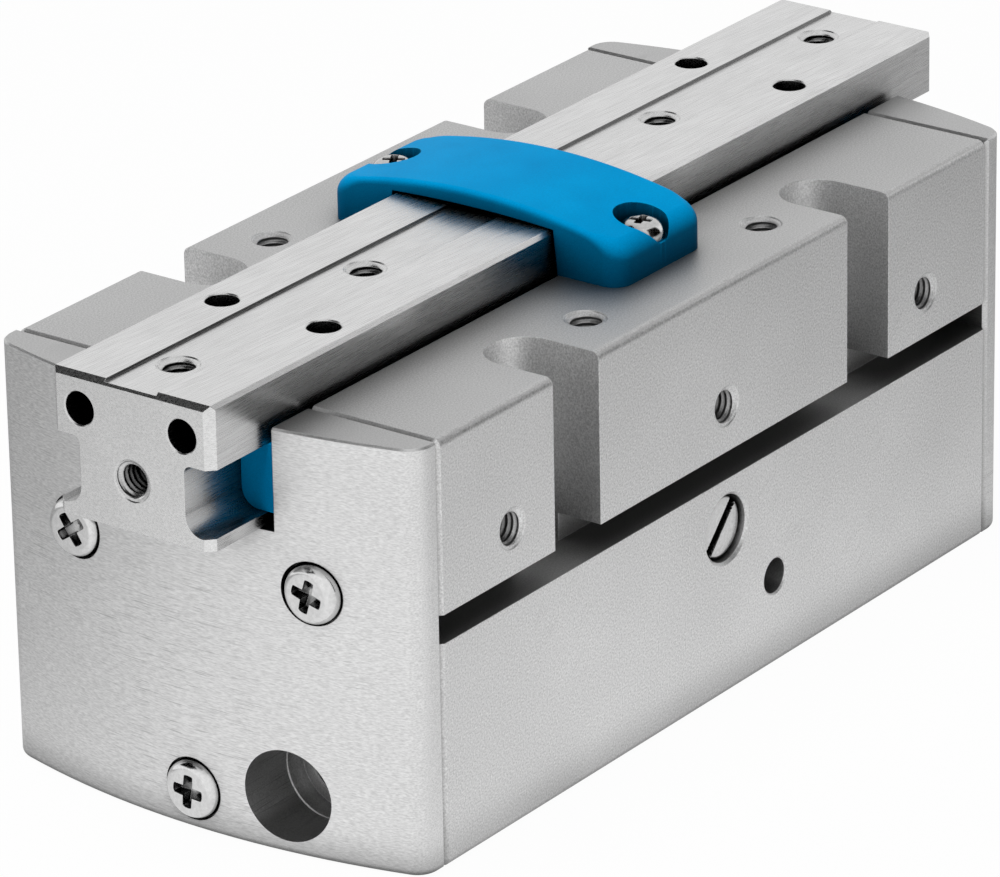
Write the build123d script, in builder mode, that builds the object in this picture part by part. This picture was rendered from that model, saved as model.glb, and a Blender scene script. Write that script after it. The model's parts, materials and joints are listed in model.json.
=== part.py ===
from build123d import *

import os
from math import atan, ceil, cos, floor, pi, radians, sin, sqrt, tan

# Two-jaw parallel gripper driven by compressed air, closed.
# X runs along the jaws' travel and the front jaw opens towards -X. +Z is up, and the
# origin is the centre of the housing's base. The gripper looks the same after half a
# turn about Z, so every rear piece is the front one turned. Sizes are in millimetres.

# Housing block
body_length = 113.0
body_width = 60.0
body_height = 52.6
long_edge_radius = 1.0
joint_chamfer = 0.5

# Sensor grooves along both sides
groove_bottom = 27.8
groove_height = 3.5
groove_depth = 6.0

# Side notches for the four mounting screws, and their holes down to the base
notch_radius = 4.5
mount_spacing_x = 60.2
mount_spacing_y = 45.2
mount_hole_radius = 2.75

# Threads, as smooth holes of the thread's inner radius with a countersunk mouth
m5_radius = 2.1
m5_sink_radius = 2.6
m4_radius = 1.65
m3_radius = 1.25
thread_depth = 8.5
top_thread_spacing_x = 36.0
top_thread_spacing_y = 45.4
side_thread_spacing = 42.8
side_thread_drop = 15.5

# Guide channel and the jaws that run in it
channel_depth = 12.6
channel_half_width = 12.4
guide_gap = 0.05
floor_gap = 0.4
flange_gap = 0.3
stroke = 20.0
jaw_reach = 73.3
jaw_parting = 0.3
jaw_height = 17.6
jaw_head_height = 7.7
jaw_head_half_width = 11.42
jaw_waist_half_width = 7.42
jaw_flange_height = 1.5
jaw_flange_half_width = 11.0
waist_fillet_low = 2.3
waist_fillet_high = 1.0
jaw_edge_chamfer = 0.5
jaw_end_chamfer = 0.66
jaw_end_side_chamfer = 1.0
band_half_width = 3.66
band_depth = 0.35
jaw_thread_outer = 64.4
jaw_thread_inner = 29.66
jaw_dowel_x = 47.1
jaw_dowel_y = 7.28
dowel_radius = 2.0
dowel_sink_radius = 2.15
dowel_depth = 6.5
end_thread_drop = 11.4
end_dowel_drop = 4.3
end_dowel_y = 7.25
end_dowel_depth = 8.0

# Hardened guide rails and the wipers at their ends
rail_key_depth = 2.0
rail_key_height = 5.0
wiper_length = 6.65

# Two cylinder bores side by side, one piston in each
bore_radius = 8.0
bore_offset = 9.6
bore_height = 21.4
piston_gap = 0.05
piston_chamfer = 0.8
seal_inset = 1.5
seal_width = 2.4
seal_depth = 1.6
seal_gap = 0.02
seal_edge_radius = 0.5
bumper_radius = 6.0
bumper_pocket = 1.0
bumper_height = 1.5
bumper_gap = 0.3
bore_seal_outer_radius = 9.4
bore_seal_inner_radius = 8.4
bore_seal_depth = 1.2
magnet_radius = 2.5
magnet_thickness = 2.5
magnet_pocket = 3.4
magnet_shift = 26.0

# Carriers that take the pistons' motion up to the jaws through slots in the floor
carrier_x = 5.5
carrier_length = 6.0
carrier_y = 4.6
carrier_width = 4.0
carrier_foot_height = 2.7
carrier_foot_width = 7.0
carrier_seat = 24.9
carrier_tongue = 3.0
carrier_gap = 0.05
slot_end_gap = 0.5
slot_side_gap = 0.2
slot_corner_radius = 0.4

# Pinion that meshes with a rack on each piston
tooth_module = 1.0
pinion_teeth = 12
pressure_angle = 20.0
pinion_addendum = 1.0
rack_addendum = 0.7
tooth_root_gap = 0.25
tooth_backlash = 0.1
rack_end_run = 1.0
pinion_bottom = 16.0
pinion_height = 7.0
pinion_bore_radius = 3.0
axle_radius = 2.0
axle_pilot_radius = 1.5
axle_pilot_length = 3.6
axle_gap = 0.03
washer_gap = 0.1
upper_washer_thickness = 0.5
lower_washer_thickness = 0.8
pocket_gap = 0.5

# Base cover that closes the pinion's pocket
cover_radius = 8.6
cover_gap = 0.05
cover_thickness = 3.9
cover_boss_radius = 4.0
clip_height = 0.3
clip_thickness = 1.0
clip_outer_radius = 9.2
clip_inner_radius = 7.4
clip_opening = 50.0
cover_seal_width = 1.6
cover_seal_depth = 1.25
axle_seat_depth = 3.0

# End caps, convex in plan
cap_thickness = 8.0
cap_face_radius = 105.0
cap_corner_radius = 3.0
cap_edge_chamfer = 0.25
cap_screw_y = 16.9
cap_screw_height = 33.3
cap_low_screw_y = 0.0
cap_low_screw_height = 5.2
cap_hole_radius = 2.25
cap_head_radius = 3.7
cap_head_height = 2.2
cap_head_gap = 0.2
cap_head_recess = 1.1
cap_screw_grip = 8.0
drill_run = 1.0
cut_run = 1.0

# Air ports, one at each end
port_y = 13.0
port_height = 7.4
port_bore_radius = 5.65
port_bore_depth = 3.0
port_mouth = 0.3
port_thread_radius = 4.28
port_thread_depth = 8.0
air_way_radius = 1.0
air_way_inset = 1.2
air_way_y = 11.6

# Slotted plugs over the pistons' middles, and the blind holes beside them
plug_radius = 3.9
plug_hole_radius = 4.2
plug_mouth_radius = 4.55
plug_recess = 0.95
plug_length = 5.9
plug_way_radius = 3.4
plug_seal_inner_radius = 2.9
plug_seal_thickness = 0.8
plug_slot_width = 1.2
plug_slot_depth = 1.3
plug_slot_angle = 46.0
side_hole_x = 10.1
side_hole_height = 11.6
side_hole_radius = 2.2
side_hole_mouth_radius = 2.4
side_hole_depth = 3.0
side_hole_cone = 1.2

# Bridge cover over the middle of the jaws
bridge_half_length = 8.8
bridge_half_width = 21.15
bridge_crown = 7.8
bridge_drop = 2.8
bridge_leg_gap = 0.38
bridge_underside_gap = 0.55
bridge_underside_drop = 0.4
bridge_corner_radius = 2.5
bridge_edge_radius = 1.0
bridge_screw_y = 18.0
bridge_seat_height = 3.2
bridge_pocket_radius = 3.2
bridge_hole_radius = 1.6
bridge_head_radius = 2.8
bridge_head_height = 2.2
bridge_screw_grip = 7.0

# Cross recess of the screws: its span in head radii and its depth as a share of the head
recess_width = 0.9
recess_span = 1.15
recess_share = 0.6
screw_edge_height = 0.9
thread_play = 0.05

# How close an edge lies to a plane to count as on it
near = 0.01

# Places that follow from the sizes above
half_length = body_length / 2
half_width = body_width / 2
side_thread_height = body_height - side_thread_drop
channel_floor = body_height - channel_depth
jaw_bottom = channel_floor + floor_gap
jaw_top = jaw_bottom + jaw_height
jaw_head_bottom = jaw_top - jaw_head_height
jaw_flange_top = jaw_bottom + jaw_flange_height
rail_bottom = jaw_flange_top + guide_gap
rail_top = jaw_head_bottom - guide_gap
rail_inner = jaw_waist_half_width + guide_gap
rail_height = rail_top - rail_bottom
piston_radius = bore_radius - piston_gap
piston_length = body_length - stroke - 2 * (bumper_height + bumper_gap)
piston_rest_x = stroke / 2
pitch_radius = tooth_module * pinion_teeth / 2
tooth_pitch = pi * tooth_module
rack_tip_y = pitch_radius - rack_addendum * tooth_module
rack_root_y = pitch_radius + pinion_addendum * tooth_module + tooth_root_gap
pinion_tip_radius = pitch_radius + pinion_addendum * tooth_module
pinion_root_radius = rack_tip_y - tooth_root_gap
pocket_radius = pinion_tip_radius + pocket_gap
rack_half_length = stroke / 2 + pinion_tip_radius + rack_end_run
pocket_top = pinion_bottom + pinion_height + washer_gap + upper_washer_thickness
cover_bottom = clip_height + clip_thickness
cover_top = cover_bottom + cover_thickness
cap_recess_radius = cap_head_radius + cap_head_gap
cap_screw_length = cap_thickness - cap_head_recess + cap_screw_grip
bridge_seat = body_height + bridge_seat_height
bridge_leg_inner = jaw_head_half_width + bridge_leg_gap


# A plane on a face of the block, whose normal leaves the material
def facing(x, y, z, direction):
    return Plane(origin=(x, y, z), z_dir=direction)


# How far the cap's convex face stands ahead of the housing at a given y
def cap_reach(y):
    return cap_thickness - cap_face_radius + sqrt(cap_face_radius**2 - y**2)


# Place of each cap screw, and the height of its head's seat above the housing's end
def cap_screw_places():
    places = [(cap_screw_y, cap_screw_height), (-cap_screw_y, cap_screw_height)]
    places.append((cap_low_screw_y, cap_low_screw_height))
    return [(y, z, cap_reach(y) - cap_head_recess) for y, z in places]


# A domed screw with a cross recess, its seat at z = 0 and its head above
def domed_screw(head_radius, head_height, shank_radius, shank_length):
    recess_length = recess_span * head_radius
    recess_depth = recess_share * head_height
    with BuildPart() as screw:
        with BuildSketch(Plane.XZ):
            with BuildLine():
                Polyline(
                    (0, head_height),
                    (0, -shank_length),
                    (shank_radius, -shank_length),
                    (shank_radius, 0),
                    (head_radius, 0),
                    (head_radius, screw_edge_height),
                )
                dome_rise = head_height - screw_edge_height
                dome_radius = (head_radius**2 + dome_rise**2) / (2 * dome_rise)
                middle_x = head_radius / 2
                middle_z = head_height - dome_radius + sqrt(dome_radius**2 - middle_x**2)
                ThreePointArc((head_radius, screw_edge_height), (middle_x, middle_z), (0, head_height))
            make_face()
        revolve(axis=Axis.Z)
        with BuildSketch(Plane.XY.offset(head_height - recess_depth)):
            Rectangle(recess_length, recess_width)
            Rectangle(recess_width, recess_length)
        extrude(amount=recess_depth, mode=Mode.SUBTRACT)
    return screw.part


os.makedirs("parts", exist_ok=True)


# Housing: one block with bores, channel, grooves, notches and threads
with BuildPart() as housing:
    with BuildSketch(Plane.YZ.offset(-half_length)):
        with Locations((0, body_height / 2)):
            RectangleRounded(body_width, body_height, long_edge_radius)
    extrude(amount=body_length)
    chamfer(housing.faces().filter_by(Axis.X).edges(), length=joint_chamfer)

    # Guide channel with a keyway for the rails, sensor grooves and cylinder bores
    with BuildSketch(Plane.YZ.offset(-half_length)):
        with Locations((0, rail_bottom)):
            Rectangle(2 * channel_half_width, body_height - rail_bottom, align=(Align.CENTER, Align.MIN))
        with Locations((0, channel_floor)):
            flange_way = 2 * (jaw_flange_half_width + flange_gap)
            Rectangle(flange_way, rail_bottom - channel_floor, align=(Align.CENTER, Align.MIN))
        with Locations((0, rail_bottom + rail_height / 2)):
            Rectangle(2 * (channel_half_width + rail_key_depth), rail_key_height)
        with Locations((half_width, groove_bottom), (-half_width, groove_bottom)):
            Rectangle(2 * groove_depth, groove_height, align=(Align.CENTER, Align.MIN))
        with Locations((bore_offset, bore_height), (-bore_offset, bore_height)):
            Circle(bore_radius)
    extrude(amount=body_length, mode=Mode.SUBTRACT)

    # Screw notches, round at the inner end and open at the side
    notch_run = half_width - mount_spacing_y / 2 + cut_run
    with BuildSketch(Plane.XY.offset(groove_bottom)):
        with GridLocations(mount_spacing_x, mount_spacing_y, 2, 2):
            Circle(notch_radius)
        with GridLocations(mount_spacing_x, mount_spacing_y + notch_run, 2, 2):
            Rectangle(2 * notch_radius, notch_run)
    extrude(amount=body_height - groove_bottom, mode=Mode.SUBTRACT)
    with BuildSketch():
        with GridLocations(mount_spacing_x, mount_spacing_y, 2, 2):
            Circle(mount_hole_radius)
    extrude(amount=groove_bottom, mode=Mode.SUBTRACT)

    # Slots through the channel's floor, where the carriers travel
    slot_length = stroke + carrier_length + 2 * slot_end_gap
    with BuildSketch(Plane.XY.offset(carrier_seat - slot_end_gap)):
        for side in (-1, 1):
            with Locations((side * (carrier_x + stroke / 2), side * carrier_y)):
                RectangleRounded(slot_length, carrier_width + 2 * slot_side_gap, slot_corner_radius)
    extrude(amount=channel_floor - carrier_seat + slot_end_gap, mode=Mode.SUBTRACT)

    # Pinion pocket from the base, with a seat for its cover and a groove for the clip
    with BuildSketch():
        Circle(pocket_radius)
    extrude(amount=pocket_top, mode=Mode.SUBTRACT)
    with BuildSketch():
        Circle(cover_radius)
    extrude(amount=cover_top, mode=Mode.SUBTRACT)
    with BuildSketch(Plane.XY.offset(clip_height)):
        Circle(clip_outer_radius)
    extrude(amount=clip_thickness, mode=Mode.SUBTRACT)
    with BuildSketch(Plane.XY.offset(pocket_top)):
        Circle(axle_pilot_radius)
    extrude(amount=axle_pilot_length, mode=Mode.SUBTRACT)

    # Threads in the top, for the bridge cover and for whatever the gripper carries
    with Locations((0, 0, body_height)):
        with GridLocations(top_thread_spacing_x, top_thread_spacing_y, 2, 2):
            CounterSinkHole(m5_radius, m5_sink_radius, depth=thread_depth, counter_sink_angle=90)
    with Locations((0, bridge_screw_y, body_height), (0, -bridge_screw_y, body_height)):
        Hole(m3_radius, depth=thread_depth)

    for side in (-1, 1):
        # Side threads, plug hole and blind hole
        outward = (0, side, 0)
        for x in (-side_thread_spacing, 0, side_thread_spacing):
            with Locations(facing(x, side * half_width, side_thread_height, outward)):
                CounterSinkHole(m5_radius, m5_sink_radius, depth=thread_depth, counter_sink_angle=90)
        with Locations(facing(0, side * half_width, bore_height, outward)):
            plug_hole_depth = plug_recess + plug_length + plug_seal_thickness
            CounterSinkHole(plug_hole_radius, plug_mouth_radius, depth=plug_hole_depth, counter_sink_angle=90)
            Hole(plug_way_radius, depth=half_width - bore_offset)
        with Locations(facing(-side * side_hole_x, side * half_width, side_hole_height, outward)):
            CounterSinkHole(
                side_hole_radius, side_hole_mouth_radius, depth=side_hole_depth, counter_sink_angle=90
            )
        cone_y = side * (half_width - side_hole_depth)
        with Locations(facing(-side * side_hole_x, cone_y, side_hole_height, outward)):
            Cone(
                bottom_radius=0,
                top_radius=side_hole_radius,
                height=side_hole_cone,
                align=(Align.CENTER, Align.CENTER, Align.MAX),
                mode=Mode.SUBTRACT,
            )
        # Threads for the cap screws, and the air port with its way into the bore
        endward = (side, 0, 0)
        for y, z, head_seat in cap_screw_places():
            with Locations(facing(side * half_length, -side * y, z, endward)):
                Hole(m4_radius, depth=cap_screw_length - head_seat + drill_run)
        with Locations(facing(side * half_length, side * port_y, port_height, endward)):
            CounterSinkHole(
                port_bore_radius,
                port_bore_radius + port_mouth,
                depth=port_bore_depth,
                counter_sink_angle=90,
            )
            Hole(port_thread_radius, depth=port_bore_depth + port_thread_depth)
        with BuildSketch(Plane.XY.offset(port_height)):
            with Locations((side * (half_length - air_way_inset), side * air_way_y)):
                Circle(air_way_radius)
        extrude(amount=bore_height - bore_radius / 2 - port_height, mode=Mode.SUBTRACT)

housing.part.label = "housing"
export_step(housing.part, "parts/housing.step")


# Front end cap: a convex plate with an opening for the jaw
with BuildPart() as front_end_cap:
    with BuildSketch():
        with BuildLine():
            edge_x = -half_length - cap_reach(half_width)
            Polyline(
                (edge_x, half_width),
                (-half_length, half_width),
                (-half_length, -half_width),
                (edge_x, -half_width),
            )
            crown_x = -half_length - cap_thickness
            ThreePointArc((edge_x, -half_width), (crown_x, 0), (edge_x, half_width))
        make_face()
    extrude(amount=body_height)
    fillet(front_end_cap.edges().filter_by(Axis.Z).group_by(Axis.X)[0], radius=cap_corner_radius)
    chamfer(front_end_cap.faces().sort_by(Axis.X)[-1].edges(), length=joint_chamfer)
    outer_rims = front_end_cap.edges().filter_by(
        lambda rim: rim.center().X < -half_length - joint_chamfer - near
    )
    fillet(outer_rims.filter_by_position(Axis.Z, -near, near), radius=long_edge_radius)
    top_rims = front_end_cap.edges().filter_by_position(Axis.Z, body_height - near, body_height + near)
    top_rims = top_rims.filter_by(lambda rim: rim.center().X < -half_length - joint_chamfer - near)
    chamfer(top_rims, length=cap_edge_chamfer)

    # Opening for the jaw and the wipers
    with BuildSketch(Plane.YZ.offset(-half_length - 2 * cap_thickness)):
        with Locations((0, channel_floor)):
            opening_height = body_height - channel_floor
            Rectangle(2 * channel_half_width, opening_height, align=(Align.CENTER, Align.MIN))
    extrude(amount=2 * cap_thickness, mode=Mode.SUBTRACT)

    # Recessed screw holes and the way through to the air port
    for y, z, head_seat in cap_screw_places():
        with BuildSketch(Plane.YZ.offset(-half_length - head_seat)):
            with Locations((y, z)):
                Circle(cap_recess_radius)
        extrude(amount=-cap_thickness, mode=Mode.SUBTRACT)
        with BuildSketch(Plane.YZ.offset(-half_length)):
            with Locations((y, z)):
                Circle(cap_hole_radius)
        extrude(amount=-cap_thickness, mode=Mode.SUBTRACT)
    with BuildSketch(Plane.YZ.offset(-half_length)):
        with Locations((-port_y, port_height)):
            Circle(port_bore_radius)
    extrude(amount=-cap_thickness, mode=Mode.SUBTRACT)

    # Seats in the inner face for the bumpers and the bore seals
    with BuildSketch(Plane.YZ.offset(-half_length)):
        with Locations((bore_offset, bore_height), (-bore_offset, bore_height)):
            Circle(bumper_radius)
    extrude(amount=-bumper_pocket, mode=Mode.SUBTRACT)
    with BuildSketch(Plane.YZ.offset(-half_length)):
        with Locations((bore_offset, bore_height), (-bore_offset, bore_height)):
            Circle(bore_seal_outer_radius)
            Circle(bore_seal_inner_radius, mode=Mode.SUBTRACT)
    extrude(amount=-bore_seal_depth, mode=Mode.SUBTRACT)

front_end_cap.part.label = "front_end_cap"
export_step(front_end_cap.part, "parts/front_end_cap.step")
rear_end_cap = front_end_cap.part.rotate(Axis.Z, 180)
rear_end_cap.label = "rear_end_cap"
export_step(rear_end_cap, "parts/rear_end_cap.step")


# Three domed screws that hold the front cap
cap_screw = domed_screw(cap_head_radius, cap_head_height, m4_radius - thread_play, cap_screw_length)
with BuildPart() as front_cap_screws:
    for y, z, head_seat in cap_screw_places():
        with Locations(facing(-half_length - head_seat, y, z, (-1, 0, 0))):
            add(cap_screw)

front_cap_screws.part.label = "front_cap_screws"
export_step(front_cap_screws.part, "parts/front_cap_screws.step")
rear_cap_screws = front_cap_screws.part.rotate(Axis.Z, 180)
rear_cap_screws.label = "rear_cap_screws"
export_step(rear_cap_screws, "parts/rear_cap_screws.step")


# Guide rail on the right, keyed into the channel's wall
with BuildPart() as right_guide_rail:
    with BuildSketch(Plane.YZ.offset(-half_length)) as rail_profile:
        with Locations((-channel_half_width, rail_bottom)):
            rail_width = channel_half_width - rail_inner
            Rectangle(rail_width, rail_height, align=(Align.MIN, Align.MIN))
        inner_corners = rail_profile.vertices().group_by(Axis.X)[-1].sort_by(Axis.Y)
        fillet(inner_corners[0], radius=waist_fillet_low)
        inner_corners = rail_profile.vertices().sort_by(Axis.Y)[-2:].sort_by(Axis.X)
        fillet(inner_corners[-1], radius=waist_fillet_high)
        with Locations((-channel_half_width, rail_bottom + rail_height / 2)):
            Rectangle(rail_key_depth, rail_key_height, align=(Align.MAX, Align.CENTER))
    extrude(amount=body_length)

right_guide_rail.part.label = "right_guide_rail"
export_step(right_guide_rail.part, "parts/right_guide_rail.step")
left_guide_rail = right_guide_rail.part.rotate(Axis.Z, 180)
left_guide_rail.label = "left_guide_rail"
export_step(left_guide_rail, "parts/left_guide_rail.step")


# Plastic wipers in the front cap's opening, one in each side of the jaw
with BuildPart() as front_wipers:
    with BuildSketch(Plane.YZ.offset(-half_length - wiper_length)) as wiper_profile:
        with Locations((-channel_half_width, rail_bottom)):
            Rectangle(channel_half_width - rail_inner, rail_height, align=(Align.MIN, Align.MIN))
        lower_corner = wiper_profile.vertices().group_by(Axis.X)[-1].sort_by(Axis.Y)[0]
        fillet(lower_corner, radius=waist_fillet_low)
        upper_corner = wiper_profile.vertices().sort_by(Axis.Y)[-2:].sort_by(Axis.X)[-1]
        fillet(upper_corner, radius=waist_fillet_high)
    extrude(amount=wiper_length)
    mirror(about=Plane.XZ)

front_wipers.part.label = "front_wipers"
export_step(front_wipers.part, "parts/front_wipers.step")
rear_wipers = front_wipers.part.rotate(Axis.Z, 180)
rear_wipers.label = "rear_wipers"
export_step(rear_wipers, "parts/rear_wipers.step")


# Front jaw: a T-shaped steel slide with a broad head and a thin foot
with BuildPart() as front_jaw:
    with BuildSketch(Plane.YZ.offset(-jaw_reach)) as jaw_profile:
        with BuildLine():
            Polyline(
                (0, jaw_bottom),
                (jaw_flange_half_width, jaw_bottom),
                (jaw_flange_half_width, jaw_flange_top),
                (jaw_waist_half_width, jaw_flange_top),
                (jaw_waist_half_width, jaw_head_bottom),
                (jaw_head_half_width, jaw_head_bottom),
                (jaw_head_half_width, jaw_top - jaw_edge_chamfer),
                (jaw_head_half_width - jaw_edge_chamfer, jaw_top),
                (band_half_width, jaw_top),
                (band_half_width, jaw_top - band_depth),
                (0, jaw_top - band_depth),
                close=True,
            )
        make_face()
        waist_corners = jaw_profile.vertices().filter_by_position(
            Axis.X, jaw_waist_half_width - near, jaw_waist_half_width + near
        )
        fillet(waist_corners.sort_by(Axis.Y)[0], radius=waist_fillet_low)
        upper_corner = jaw_profile.vertices().filter_by_position(
            Axis.Y, jaw_head_bottom - near, jaw_head_bottom + near
        )
        fillet(upper_corner.sort_by(Axis.X)[0], radius=waist_fillet_high)
        mirror(about=Plane.YZ)
    extrude(amount=jaw_reach - jaw_parting / 2)

    # Chamfers on the outer end: along the top, and down the sides of head and flange
    with BuildSketch(Plane.XZ.offset(-jaw_head_half_width)):
        with Locations((-jaw_reach, jaw_top)):
            Rectangle(sqrt(2) * jaw_end_chamfer, sqrt(2) * jaw_end_chamfer, rotation=45)
    extrude(amount=2 * jaw_head_half_width, mode=Mode.SUBTRACT)
    with BuildSketch(Plane.XY.offset(jaw_head_bottom)):
        with Locations((-jaw_reach, jaw_head_half_width), (-jaw_reach, -jaw_head_half_width)):
            Rectangle(sqrt(2) * jaw_end_side_chamfer, sqrt(2) * jaw_end_side_chamfer, rotation=45)
    extrude(amount=jaw_head_height, mode=Mode.SUBTRACT)
    with BuildSketch(Plane.XY.offset(jaw_bottom)):
        with Locations((-jaw_reach, jaw_flange_half_width), (-jaw_reach, -jaw_flange_half_width)):
            Rectangle(sqrt(2) * jaw_end_side_chamfer, sqrt(2) * jaw_end_side_chamfer, rotation=45)
    extrude(amount=jaw_flange_height, mode=Mode.SUBTRACT)

    # Threads and dowel holes in the top and the outer end
    band_top = jaw_top - band_depth
    with Locations((-jaw_thread_outer, 0, band_top), (-jaw_thread_inner, 0, band_top)):
        CounterSinkHole(m5_radius, m5_sink_radius, depth=thread_depth, counter_sink_angle=90)
    with Locations((-jaw_dowel_x, jaw_dowel_y, jaw_top), (-jaw_dowel_x, -jaw_dowel_y, jaw_top)):
        CounterSinkHole(dowel_radius, dowel_sink_radius, depth=dowel_depth, counter_sink_angle=90)
    with Locations(facing(-jaw_reach, 0, jaw_top - end_thread_drop, (-1, 0, 0))):
        CounterSinkHole(m5_radius, m5_sink_radius, depth=thread_depth, counter_sink_angle=90)
    for y in (-end_dowel_y, end_dowel_y):
        with Locations(facing(-jaw_reach, y, jaw_top - end_dowel_drop, (-1, 0, 0))):
            CounterSinkHole(dowel_radius, dowel_sink_radius, depth=end_dowel_depth, counter_sink_angle=90)

    # Pocket in the underside for the carrier's tongue
    with BuildSketch(Plane.XY.offset(jaw_bottom)):
        with Locations((-carrier_x, -carrier_y)):
            Rectangle(carrier_length + 2 * carrier_gap, carrier_width + 2 * carrier_gap)
    extrude(amount=carrier_tongue, mode=Mode.SUBTRACT)

front_jaw.part.label = "front_jaw"
export_step(front_jaw.part, "parts/front_jaw.step")
rear_jaw = front_jaw.part.rotate(Axis.Z, 180)
rear_jaw.label = "rear_jaw"
export_step(rear_jaw, "parts/rear_jaw.step")


# Front carrier: a stem in the floor's slot and a foot in the piston's notch
with BuildPart() as front_carrier:
    with BuildSketch(Plane.XY.offset(carrier_seat)):
        with Locations((-carrier_x, -carrier_y)):
            Rectangle(carrier_length, carrier_width)
    extrude(amount=jaw_bottom + carrier_tongue - carrier_gap - carrier_seat)
    with BuildSketch(Plane.XY.offset(carrier_seat)):
        with Locations((-carrier_x, -carrier_y - carrier_width / 2)):
            Rectangle(carrier_length, carrier_foot_width, align=(Align.CENTER, Align.MAX))
    extrude(amount=carrier_foot_height)

front_carrier.part.label = "front_carrier"
export_step(front_carrier.part, "parts/front_carrier.step")
rear_carrier = front_carrier.part.rotate(Axis.Z, 180)
rear_carrier.label = "rear_carrier"
export_step(rear_carrier, "parts/rear_carrier.step")


# Front piston: closed at both ends, with a rack cut into its inner flank
piston_start = piston_rest_x - piston_length / 2
seal_starts = (piston_start + seal_inset, piston_start + piston_length - seal_inset - seal_width)
with BuildPart() as front_piston:
    with BuildSketch(Plane.YZ.offset(piston_start)):
        with Locations((-bore_offset, bore_height)):
            Circle(piston_radius)
    extrude(amount=piston_length)
    chamfer(front_piston.faces().filter_by(Axis.X).edges(), length=piston_chamfer)
    for start in seal_starts:
        with BuildSketch(Plane.YZ.offset(start)):
            with Locations((-bore_offset, bore_height)):
                Circle(bore_radius)
                Circle(piston_radius - seal_depth, mode=Mode.SUBTRACT)
        extrude(amount=seal_width, mode=Mode.SUBTRACT)

    # Rack: a flat at the teeth's tips, then the spaces between the teeth
    with BuildSketch(Plane.XY.offset(bore_height - bore_radius)):
        with Locations((piston_rest_x, -rack_tip_y)):
            Rectangle(2 * rack_half_length, bore_radius, align=(Align.CENTER, Align.MIN))
        space_tip = tooth_pitch / 4 + rack_addendum * tooth_module * tan(radians(pressure_angle))
        space_root = tooth_pitch / 4 - (rack_root_y - pitch_radius) * tan(radians(pressure_angle))
        first_space = ceil((piston_rest_x - rack_half_length + space_tip) / tooth_pitch)
        last_space = floor((piston_rest_x + rack_half_length - space_tip) / tooth_pitch)
        for number in range(first_space, last_space + 1):
            with BuildLine():
                Polyline(
                    (number * tooth_pitch - space_tip, -rack_tip_y),
                    (number * tooth_pitch - space_root, -rack_root_y),
                    (number * tooth_pitch + space_root, -rack_root_y),
                    (number * tooth_pitch + space_tip, -rack_tip_y),
                    close=True,
                )
            make_face()
    extrude(amount=2 * bore_radius, mode=Mode.SUBTRACT)

    # Notch for the carrier's foot, and the pocket for the magnet
    with BuildSketch(Plane.XY.offset(carrier_seat)):
        with Locations((-carrier_x, -bore_offset)):
            Rectangle(carrier_length + 2 * carrier_gap, 2 * bore_radius)
    extrude(amount=bore_radius, mode=Mode.SUBTRACT)
    magnet_x = piston_rest_x + magnet_shift
    with Locations(facing(magnet_x, -bore_offset - piston_radius, bore_height, (0, -1, 0))):
        Hole(magnet_radius, depth=magnet_pocket)

front_piston.part.label = "front_piston"
export_step(front_piston.part, "parts/front_piston.step")
rear_piston = front_piston.part.rotate(Axis.Z, 180)
rear_piston.label = "rear_piston"
export_step(rear_piston, "parts/rear_piston.step")


# Seals near both ends of the front piston
with BuildPart() as front_piston_seals:
    for start in seal_starts:
        with BuildSketch(Plane.YZ.offset(start)):
            with Locations((-bore_offset, bore_height)):
                Circle(bore_radius - seal_gap)
                Circle(piston_radius - seal_depth, mode=Mode.SUBTRACT)
        extrude(amount=seal_width)
    outer_rims = front_piston_seals.edges().filter_by(
        lambda rim: rim.geom_type == GeomType.CIRCLE and rim.radius > piston_radius
    )
    fillet(outer_rims, radius=seal_edge_radius)

front_piston_seals.part.label = "front_piston_seals"
export_step(front_piston_seals.part, "parts/front_piston_seals.step")
rear_piston_seals = front_piston_seals.part.rotate(Axis.Z, 180)
rear_piston_seals.label = "rear_piston_seals"
export_step(rear_piston_seals, "parts/rear_piston_seals.step")


# Magnet in the front piston's outer flank, for the position sensor
with BuildPart() as front_piston_magnet:
    magnet_y = -bore_offset - piston_radius + magnet_pocket
    with BuildSketch(Plane.XZ.offset(-magnet_y)):
        with Locations((magnet_x, bore_height)):
            Circle(magnet_radius)
    extrude(amount=magnet_thickness)

front_piston_magnet.part.label = "front_piston_magnet"
export_step(front_piston_magnet.part, "parts/front_piston_magnet.step")
rear_piston_magnet = front_piston_magnet.part.rotate(Axis.Z, 180)
rear_piston_magnet.label = "rear_piston_magnet"
export_step(rear_piston_magnet, "parts/rear_piston_magnet.step")


# Rubber bumpers in the front cap, one for each piston
with BuildPart() as front_bumpers:
    with BuildSketch(Plane.YZ.offset(-half_length - bumper_pocket)):
        with Locations((bore_offset, bore_height), (-bore_offset, bore_height)):
            Circle(bumper_radius)
    extrude(amount=bumper_pocket + bumper_height)
    chamfer(front_bumpers.faces().group_by(Axis.X)[-1].edges(), length=bumper_gap)

front_bumpers.part.label = "front_bumpers"
export_step(front_bumpers.part, "parts/front_bumpers.step")
rear_bumpers = front_bumpers.part.rotate(Axis.Z, 180)
rear_bumpers.label = "rear_bumpers"
export_step(rear_bumpers, "parts/rear_bumpers.step")


# Sealing rings between the front cap and the bores
with BuildPart() as front_bore_seals:
    with BuildSketch(Plane.YZ.offset(-half_length - bore_seal_depth)):
        with Locations((bore_offset, bore_height), (-bore_offset, bore_height)):
            Circle(bore_seal_outer_radius)
            Circle(bore_seal_inner_radius, mode=Mode.SUBTRACT)
    extrude(amount=bore_seal_depth)

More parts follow.
